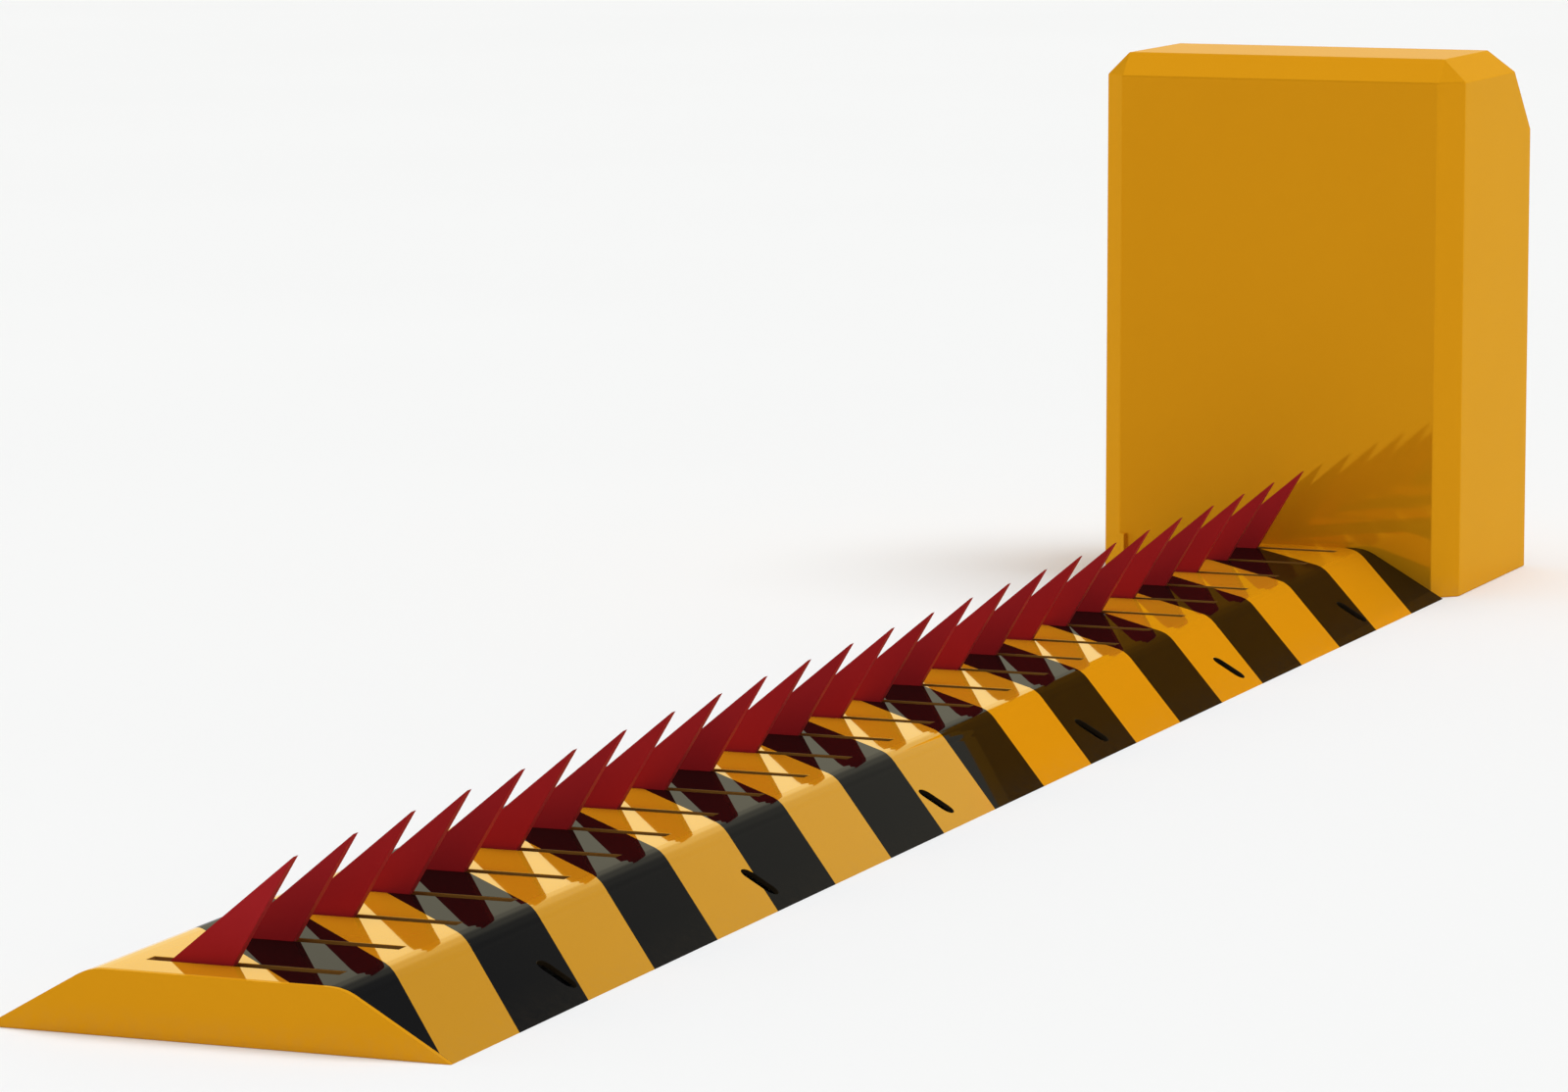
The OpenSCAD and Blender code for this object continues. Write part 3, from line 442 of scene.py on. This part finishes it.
# Lines of the cover's grid: the sides of each slot and of each patch round an access slot, and the
# rows of the press strokes. A cell inside a slot or a patch is left out.
slot_half_w = 8 * MM
slot_ends = np.array([-92.3, 90]) * MM
access_half_w = 10 * MM
access_half_l = 21 * MM
access_from_toe = 34 * MM
access_s = section_half - access_from_toe / np.cos(ramp_angle)
access_xs = spike_xs[2::4]
patch_half_w = 18 * MM
patch_half_l = 32.5 * MM
patch_steps = 13
both_sides = np.array([-1, 1])
cover_x = np.sort(np.concatenate([
    [free_end + end_plate_t, free_end + strip_l],
    (spike_xs[:, None] + both_sides * slot_half_w).ravel(),
    (spike_xs[:, None] + both_sides * patch_half_w).ravel()]))
half_s = np.concatenate([
    flat_half + stroke_pitch * np.linspace(0, press_strokes, stroke_rows * press_strokes + 1),
    access_s + np.linspace(-patch_half_l, patch_half_l, patch_steps + 1),
    [section_half]])
cover_s = np.sort(np.concatenate([-half_s, slot_ends, [0], half_s]))
corner = np.arange(len(cover_x) * len(cover_s)).reshape(len(cover_x), len(cover_s))
cells = np.stack([corner[:-1, :-1], corner[1:, :-1], corner[1:, 1:], corner[:-1, 1:]], 2)
cell_x = (cover_x[1:] + cover_x[:-1]) / 2
cell_s = (cover_s[1:] + cover_s[:-1]) / 2
from_spike = np.abs(cell_x[:, None] - spike_xs).min(1)
from_access = np.abs(cell_x[:, None] - access_xs).min(1)
in_slot = (from_spike < slot_half_w)[:, None] & (cell_s > slot_ends[0]) & (cell_s < slot_ends[1])
in_patch = (from_access < patch_half_w)[:, None] & (np.abs(np.abs(cell_s) - access_s) < patch_half_l)
cover_faces = cells[~(in_slot | in_patch)]
flat_points = np.stack(np.meshgrid(cover_x, cover_s, indexing="ij"), 2).reshape(-1, 2)


def obround(part):
    """Points of an access slot's outline, by the part of its length from the middle of its right side:
    up the side, round the top cap, down the left side, round the lower cap and up to the start."""
    straight = access_half_l - access_half_w
    cap = np.pi * access_half_w
    run = (part % 1) * (4 * straight + 2 * cap)
    turn = (np.clip(run - straight, 0, cap) + np.clip(run - 3 * straight - cap, 0, cap)) / access_half_w
    rise = (np.clip(run, 0, straight) - np.clip(run - straight - cap, 0, 2 * straight)
            + np.clip(run - 3 * straight - 2 * cap, 0, straight))
    return access_half_w * np.stack([np.cos(turn), np.sin(turn)], 1) + np.stack([0 * rise, rise], 1)


# A ring of faces round each access slot, from the patch's border to the slot's outline
near_line = MM / 10
hole_points = []
hole_faces = []
for x in access_xs:
    columns = np.flatnonzero(np.abs(cover_x - x) < patch_half_w + near_line)
    for side in both_sides:
        rows = np.flatnonzero(np.abs(cover_s - side * access_s) < patch_half_l + near_line)
        number = corner[np.ix_(columns, rows)]
        border = np.concatenate([number[-1], number[-2:0:-1, -1], number[0, ::-1], number[1:-1, 0]])
        steps = len(border)
        part = (np.arange(steps) - patch_steps / 2) / steps
        hole = np.arange(steps) + len(flat_points) + len(hole_points) * steps
        hole_points.append(obround(part) + np.array([x, side * access_s]))
        hole_faces.append(np.stack([border, np.roll(border, -1), np.roll(hole, -1), hole], 1))
flat_points = np.concatenate([flat_points] + hole_points)
cover_faces = np.concatenate([cover_faces] + hole_faces)


def cover_at(depth):
    """The cover's points, depth under its outer face."""
    y, z = hump_section(flat_points[:, 1], depth)
    return np.stack([flat_points[:, 0], y, z], 1)


def road_dust(start, place, reach):
    """Dust on the lowest part of a piece: grit that thins out with height and is gone at reach."""
    grit = noise(start, place, 90.0, detail=6.0, rough=0.7)
    low = (1 - axis_of(start, place, 2) / reach).clamped()
    return (low * (grit * 2.4 - 0.8)).clamped() * 0.12


# Paint of the cover: slanting stripes that run straight over the bends, seen from above. Where inside
# is a half the plate is a near-black underseal, which on the walls of the access slots also paints the
# shade inside those holes. Where it is 1, on the walls of the spikes' slots, it is a dark brown that
# paints the shade inside the slots.
stripe_period = 300 * MM
stripe_start = 79 * MM
stripe_slope = 1.08
stripe_edge = 0.8 * MM
hazard_paint, start, place = finish("hazard_paint", Specular_IOR_Level=0.0, Specular_Tint=gold_sheen,
                                    Coat_IOR=1.55, Coat_Roughness=0.02)
along = axis_of(start, place, 0) - free_end
from_first = along - stripe_slope * axis_of(start, place, 1) - stripe_start
in_black = stripe_period / 4 - abs(from_first % stripe_period - stripe_period / 4)
black_mask = (in_black / stripe_edge + 0.5).clamped() * (from_first / stripe_edge + 0.5).clamped()
inside = start.node("Attribute", {"attribute_name": "inside"}, {}, "Fac")
cut = (inside * 2).clamped()
cloud = noise(start, place, 6.0)
peel = noise(start, place, 420.0, detail=1.0)
dirt = road_dust(start, place, 22 * MM)
# Colour of the cut and inner faces: near-black underseal, with painted shade in the access slots, and painted
# slot shade in brown on the spikes' slots
cut_paint_and_shade = mixed(start, (inside * 2 - 1).clamped(), underseal_and_shade, slot_shade_brown)
stripes = mixed(start, black_mask, mixed(start, cloud, yellow, sunned_yellow), black)
feed(hazard_paint,
     Base_Color=mixed(start, dirt * (1 - black_mask * 0.7), mixed(start, cut, stripes, cut_paint_and_shade), dust),
     Roughness=0.04 + cloud * 0.03 + dirt * 0.9 + cut * 0.4,
     Metallic=(1 - black_mask) * (1 - cut) * 0.5,
     Coat_Weight=(0.7 - black_mask * 0.38 - dirt) * (1 - cut),
     Normal=bumped(start, peel, 0.003 * MM))
outer_count = len(cover_faces)
cover_points, cover_faces = thick_sheet(cover_at(0), cover_at(plate_t), cover_faces)
hump_cover = add_piece("hump_cover_plate", cover_points, cover_faces, "frame", "hazard_paint",
                       hazard_paint, ["hump_cover"], edge=cover_edge_r)
face_number = np.arange(len(cover_faces))
face_reach = np.abs(cover_points[np.array(cover_faces), 1]).max(1)
slot_wall = (face_number >= 2 * outer_count) & (face_reach < flat_half)
mark_faces(hump_cover, "inside", (face_number >= outer_count) * 0.5 + slot_wall * 0.5)

# Free end plate: 6 mm plate cut to the hump's outline and welded over its open end.
# It has the same gloss yellow as the cabinet, with no stripes.
cabinet_yellow = (0.76, 0.337, 0.008, 1)
cabinet_sunned = (0.73, 0.318, 0.007, 1)
end_edge_r = 0.8 * MM
yellow_paint, start, place = finish("yellow_paint", Specular_IOR_Level=0.0, Specular_Tint=gold_sheen,
                                    Metallic=0.22, Coat_IOR=1.2, Coat_Roughness=0.04)
cloud = noise(start, place, 5.0)
peel = noise(start, place, 420.0, detail=1.0)
dirt = road_dust(start, place, 30 * MM)
feed(yellow_paint,
     Base_Color=mixed(start, dirt, mixed(start, cloud, cabinet_yellow, cabinet_sunned), dust),
     Roughness=0.03 + cloud * 0.02 + dirt * 0.9,
     Coat_Weight=0.15 - dirt,
     Normal=bumped(start, peel, 0.004 * MM))
end_outline = np.stack(hump_section(np.concatenate([half_s[::-1], -half_s]), 0), 1)
add_piece("free_end_cap", *extruded(end_outline, free_end, free_end + end_plate_t), "frame", "yellow_paint",
          yellow_paint, ["free_end_plate"], edge=end_edge_r)

# Cabinet base plate and drive bracket: thick steel plate, drilled for the anchors, with the bracket
# welded up and bolted to it. Both have the grey paint of the ground frame.
dress(grey_paint, "cabinet_base_plate", "drive_bracket")

# Gearbox and its output shaft: a sand-cast aluminium case, left bare, with a coarse skin and dark pores.
# It is bolted to the bracket, and its zinc plated shaft comes out through the bracket's hole.
pale_cast = (0.50, 0.51, 0.52, 1)
dark_cast = (0.42, 0.43, 0.44, 1)
pore_dark = (0.16, 0.16, 0.16, 1)
cast_skin, start, place = finish("cast_aluminium", Metallic=0.9)
grain = noise(start, place, 700.0, detail=5.0, rough=0.7)
skin = mixed(start, noise(start, place, 25.0), pale_cast, dark_cast)
feed(cast_skin,
     Base_Color=mixed(start, (grain * 5 - 3.0).clamped() * 0.5, skin, pore_dark),
     Roughness=0.42 + grain * 0.25,
     Normal=bumped(start, grain, 0.15 * MM))
dress(cast_skin, "gearbox_housing")
dress(steel, "output_shaft")

# Motor: a finned housing and terminal box in grey paint, flanged to the top of the gearbox.
# Its fan cowl is black moulded nylon with a fine spark-eroded grain.
nylon_black = (0.012, 0.012, 0.013, 1)
nylon_worn = (0.022, 0.022, 0.023, 1)
nylon, start, place = finish("black_nylon", IOR=1.5)
grain = noise(start, place, 1400.0, detail=2.0)
feed(nylon,
     Base_Color=mixed(start, noise(start, place, 20.0), nylon_black, nylon_worn),
     Roughness=0.40 + grain * 0.2,
     Normal=bumped(start, grain, 0.05 * MM))
dress(grey_paint, "motor_housing", "motor_terminal_box")
dress(nylon, "motor_fan_cowl")

# Crank, connecting rod and lever: flat arms cut from steel bar, with turned pins and a rod between
# two eyes, all zinc plated. They carry the gearbox's turn down to the spike shaft.
dress(steel, "crank_arm", "crank_pin", "connecting_rod", "rod_ends", "shaft_lever", "lever_pin")

# Position sensors: two turned brass barrels that face the lever raised and lowered, each clamped in the
# drive bracket by two nuts. They have the colour and the tool marks of the bushes.
dress(bronze, "position_sensors")

# Control box: a folded steel box with a lid, in grey paint, on the cabinet's side wall.
# Its cable glands are black nylon, screwed into the underside.
dress(grey_paint, "control_box", "control_box_lid")
dress(nylon, "cable_glands")

# Cabinet shell: 3 mm sheet folded into a tall box with bevelled front corners, a bevelled band
# round the top and a sloped rear top, open at the back for the door. Gloss yellow like the hump.
sheet_t = 3 * MM
fold_edge_r = 1.6 * MM
cab_front = free_end + strip_l
cab_w = 464 * MM
cab_d = 332 * MM
cab_h = 666 * MM
cab_fold = 28 * MM
rear_face_h = 561 * MM
door_w = 390 * MM
door_h = 490 * MM
door_z = 45 * MM
door_lap = 15 * MM
base_t = 8 * MM
foot_w = 26 * MM
shaft_hole_r = 14 * MM
hole_sides = 32


def ring_at(x, y, z, radius, first, turns):
    """Points of a circle square to x, from the angle first, once round in the direction of turns."""
    angle = np.radians(first) + turns * np.linspace(0, 2 * np.pi, hole_sides, endpoint=False)
    return np.column_stack([np.full(hole_sides, x), y + radius * np.cos(angle), z + radius * np.sin(angle)])


def pierced(corners, first):
    """Four faces of a panel with a round hole, whose points are numbered from first: each face has one
    side of the panel and a quarter of the hole."""
    quarter = hole_sides // 4
    arcs = [np.arange((k + 1) * quarter, k * quarter - 1, -1) % hole_sides for k in range(4)]
    return [np.concatenate([[corners[k], corners[(k + 1) % 4]], first + arcs[k]]) for k in range(4)]


def block(low, high):
    """A box between two corners: its eight points and six faces."""
    ends = np.array([[i, j, k] for i in (0, 1) for j in (0, 1) for k in (0, 1)])
    faces = [[0, 1, 3, 2], [4, 6, 7, 5], [0, 4, 5, 1], [2, 3, 7, 6], [0, 2, 6, 4], [1, 5, 7, 3]]
    return np.where(ends, high, low), faces


def cabinet_at(t):
    """Corners of the folded cabinet, t inside its faces: per side, three at the foot, then the front
    and side under the band, the rear under the slope, the band's rear, and the two top corners."""
    lean = (np.sqrt(2) - 1) * t
    half = cab_w / 2 - t
    front_half = cab_w / 2 - cab_fold - lean
    fold_x = cab_fold + lean
    fold_z = cab_h - cab_fold - lean
    rear = cab_d - t
    top = cab_h - t
    slope = cab_d + rear_face_h - t * np.sqrt(2)
    corners = np.array([
        [t, front_half, 0], [fold_x, half, 0], [rear, half, 0],
        [t, front_half, fold_z], [fold_x, half, fold_z], [rear, half, slope - rear],
        [slope - fold_z, half, fold_z], [fold_x, front_half, top], [slope - top, front_half, top]])
    low_y, high_y = door_lap - door_w / 2, door_w / 2 - door_lap
    low_z, high_z = door_z + door_lap, door_z + door_h - door_lap
    opening = np.array([[rear, low_y, low_z], [rear, high_y, low_z],
                        [rear, high_y, high_z], [rear, low_y, high_z]])
    shaft_hole = ring_at(t, shaft_y, shaft_z, shaft_hole_r, -45, -1)
    return np.concatenate([corners, corners * [1, -1, 1], opening, shaft_hole]) + [cab_front, 0, 0]


# Faces seen from outside: corners 0 to 8 are on the +Y side, 9 to 17 on the -Y side,
# 18 to 21 round the rear opening, and the rest round the shaft's hole.
mirrored = 9
side_faces = [[0, 3, 4, 1], [1, 4, 6, 5, 2], [3, 7, 4], [4, 7, 8, 6]]
cabinet_faces = side_faces + [[k + mirrored for k in reversed(face)] for face in side_faces]
cabinet_faces += [[3, 12, 16, 7], [7, 16, 17, 8], [8, 17, 15, 14, 5, 6]]
cabinet_faces += [[11, 2, 19, 18], [2, 5, 20, 19], [5, 14, 21, 20], [14, 11, 18, 21]]
cabinet_faces += pierced([0, 9, 12, 3], first=22)
foot_xs = cab_front + cab_fold + sheet_t, cab_front + cab_d - sheet_t
foot_ys = cab_w / 2 - sheet_t - foot_w, cab_w / 2 - sheet_t / 2
foot_zs = base_t, base_t + sheet_t
left_foot = block((foot_xs[0], foot_ys[0], foot_zs[0]), (foot_xs[1], foot_ys[1], foot_zs[1]))
right_foot = block((foot_xs[0], -foot_ys[1], foot_zs[0]), (foot_xs[1], -foot_ys[0], foot_zs[1]))
folded = thick_sheet(cabinet_at(0), cabinet_at(sheet_t), cabinet_faces)
add_piece("cabinet_folded_shell", *joined(folded, left_foot, right_foot), "frame", "yellow_paint",
          yellow_paint, ["cabinet_shell"], edge=fold_edge_r, steps=3)

# Corner gusset and cabinet bolts: a small yellow plate where the strip meets the cabinet, and the zinc
# plated hexagon bolts that hold the shell, the bracket and the gearbox.
dress(yellow_paint, "corner_gusset")
dress(steel, "cabinet_bolts")

# Rear door: a shallow tray of 2 mm sheet that laps over the rear opening, painted like the shell.
# It hangs on two hinges at its +Y edge and is pierced for the lock at the other.
door_t = 2 * MM
door_edge_r = 1.8 * MM
lock_hole_r = 8.05 * MM
door_low, door_high = np.array(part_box("rear_door"))
lock_low, lock_high = np.array(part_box("lock_handle"))
lock_y, lock_z = (lock_low[1:] + lock_high[1:]) / 2


def tray_at(t):
    """Corners of the door tray, t inside its faces: the open rim, the panel, then the lock's hole."""
    low_y, low_z = door_low[1:] + t
    high_y, high_z = door_high[1:] - t
    loop = np.array([[low_y, low_z], [high_y, low_z], [high_y, high_z], [low_y, high_z]])
    rim = np.column_stack([np.full(4, door_low[0]), loop])
    panel = np.column_stack([np.full(4, door_high[0] - t), loop])
    return np.concatenate([rim, panel, ring_at(door_high[0] - t, lock_y, lock_z, lock_hole_r, -135, 1)])


tray_faces = [[k, (k + 1) % 4, (k + 1) % 4 + 4, k + 4] for k in range(4)] + pierced([4, 5, 6, 7], first=8)
add_piece("rear_door_tray", *thick_sheet(tray_at(0), tray_at(door_t), tray_faces), "door", "yellow_paint",
          yellow_paint, ["rear_door"], edge=door_edge_r, steps=3)

# Door seal: a closed-cell rubber strip, glued round the inside of the door.
# It is matt, with a fine skin and a little dust.
rubber_black = (0.014, 0.014, 0.014, 1)
rubber_dusty = (0.03, 0.029, 0.028, 1)
rubber, start, place = finish("seal_rubber", IOR=1.5)
grain = noise(start, place, 900.0, detail=3.0)
feed(rubber,
     Base_Color=mixed(start, grain, rubber_black, rubber_dusty),
     Roughness=0.7 + grain * 0.2,
     Normal=bumped(start, grain, 0.08 * MM))
dress(rubber, "door_seal")

# Hinges: rolled steel leaves on a pin, zinc plated. Pan head screws with a round socket, turned from bar,
# hold them: four in each leaf on the door and three in each leaf on the cabinet.
leaf_t = 3 * MM
hinge_l = 90 * MM
screw_in = 11 * MM
head_profile = np.array([[4.2, 0], [4.2, 1.0], [3.9, 1.6], [3.2, 2.1], [2.2, 2.4],
                         [1.7, 2.4], [1.6, 2.2], [1.6, 1.2]]) * MM


def turned(profile, foot, power=1.0, sides=32):
    """A solid along x from its foot. Each row of the profile is a ring: its radius and height, or half
    its width in y, half its width in z and its height. The cosine and sine of the ring's turn are
    raised to a power: 1 gives an ellipse, and less a squarer ring."""
    half_y, half_z, height = profile[:, 0], profile[:, -2], profile[:, -1]
    turn = np.linspace(0, 2 * np.pi, sides, endpoint=False)
    side_y = np.sign(np.cos(turn)) * np.abs(np.cos(turn)) ** power
    side_z = np.sign(np.sin(turn)) * np.abs(np.sin(turn)) ** power
    points = np.stack([np.repeat(height, sides), np.outer(half_y, side_y).ravel(),
                       np.outer(half_z, side_z).ravel()], 1)
    ring = np.arange(len(points)).reshape(-1, sides)
    after = np.roll(ring, -1, 1)
    walls = np.stack([ring[:-1], after[:-1], after[1:], ring[1:]], 2).reshape(-1, 4)
    return points + foot, [ring[0, ::-1]] + list(walls) + [ring[-1]]


def screwed(name, body, face_x, ys, heights):
    """Screw heads on the hinges' leaves, at every crossing of ys with the heights on both hinges."""
    zs = (hinge_feet[:, None] + np.array(heights)).ravel()
    heads = [turned(head_profile, np.array([face_x, y, z])) for y in ys for z in zs]
    add_piece(name, *joined(*heads), body, "steel", steel)


dress(steel, "door_hinge_leaves", "frame_hinge_leaves", "hinge_pins")
hinge_low, hinge_high = np.array(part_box("frame_hinge_leaves"))
leaf_low = np.array(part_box("door_hinge_leaves")[0])
hinge_feet = np.array([hinge_low[2], hinge_high[2] - hinge_l])
screwed("door_hinge_screws", "door", door_high[0] + leaf_t,
        [leaf_low[1] + screw_in, door_high[1] - screw_in], [screw_in, hinge_l - screw_in])
screwed("frame_hinge_screws", "frame", cab_front + cab_d + leaf_t,
        [hinge_high[1] - screw_in], [screw_in, hinge_l / 2, hinge_l - screw_in])

# Lock: a quarter-turn wing on a rosette and barrel, moulded in one from black nylon.
# The barrel goes through the door and carries the zinc plated cam behind it.
barrel_r = 8 * MM
rosette_r = 15 * MM
rosette_t = 4 * MM
rosette_gap = 0.3 * MM
rim_r = 1.5 * MM
rim_steps = 7
grip_half_t = 4.5 * MM
grip_half_l = (lock_high[2] - lock_low[2]) / 2
rosette_x = door_high[0] + rosette_gap
grip_foot_x = rosette_x + rosette_t * 0.7
lock_axis = np.array([0, lock_y, lock_z])
barrel = np.array([[barrel_r, lock_low[0]], [barrel_r, rosette_x + rosette_t / 2]])
rim_turn = np.linspace(0, np.pi / 2, rim_steps)
rosette_rim = np.stack([rosette_r - rim_r + rim_r * np.cos(rim_turn),
                        rosette_x + rosette_t - rim_r + rim_r * np.sin(rim_turn)], 1)
rosette = np.concatenate([
    [[rosette_r - rim_r / 2, rosette_x], [rosette_r, rosette_x + rim_r / 2]], rosette_rim])

# The grip's half widths over its height: drawn in at the waist, flared, and domed over the last quarter
grip_rings = 25
dome_share = 0.25
dome_end_share = 0.98
waist_share = 0.8
flare_share = 0.7
draw_share = 0.22
top_t_share = 0.3
top_l_share = 0.8
grip_part = np.linspace(0, 1, grip_rings)
into_dome = np.clip((grip_part - 1 + dome_share) / dome_share, 0, dome_end_share)
grip_dome = np.sqrt(1 - into_dome ** 2)
grip_waist = 1 - draw_share * np.sin(np.pi * np.clip(grip_part / waist_share, 0, 1))
grip_flare = 1 - draw_share + draw_share * np.sin(np.pi / 2 * np.clip(grip_part / flare_share, 0, 1))
grip = np.stack([grip_half_t * grip_waist * (top_t_share + (1 - top_t_share) * grip_dome),
                 grip_half_l * grip_flare * (top_l_share + (1 - top_l_share) * grip_dome),
                 grip_foot_x + (lock_high[0] - grip_foot_x) * grip_part], 1)
handle = joined(turned(barrel, lock_axis), turned(rosette, lock_axis, sides=48),
                turned(grip, lock_axis, power=0.5, sides=48))
add_piece("wing_lock_handle", *handle, "lock", "black_plastic", nylon, ["lock_handle"])
dress(steel, "lock_cam")
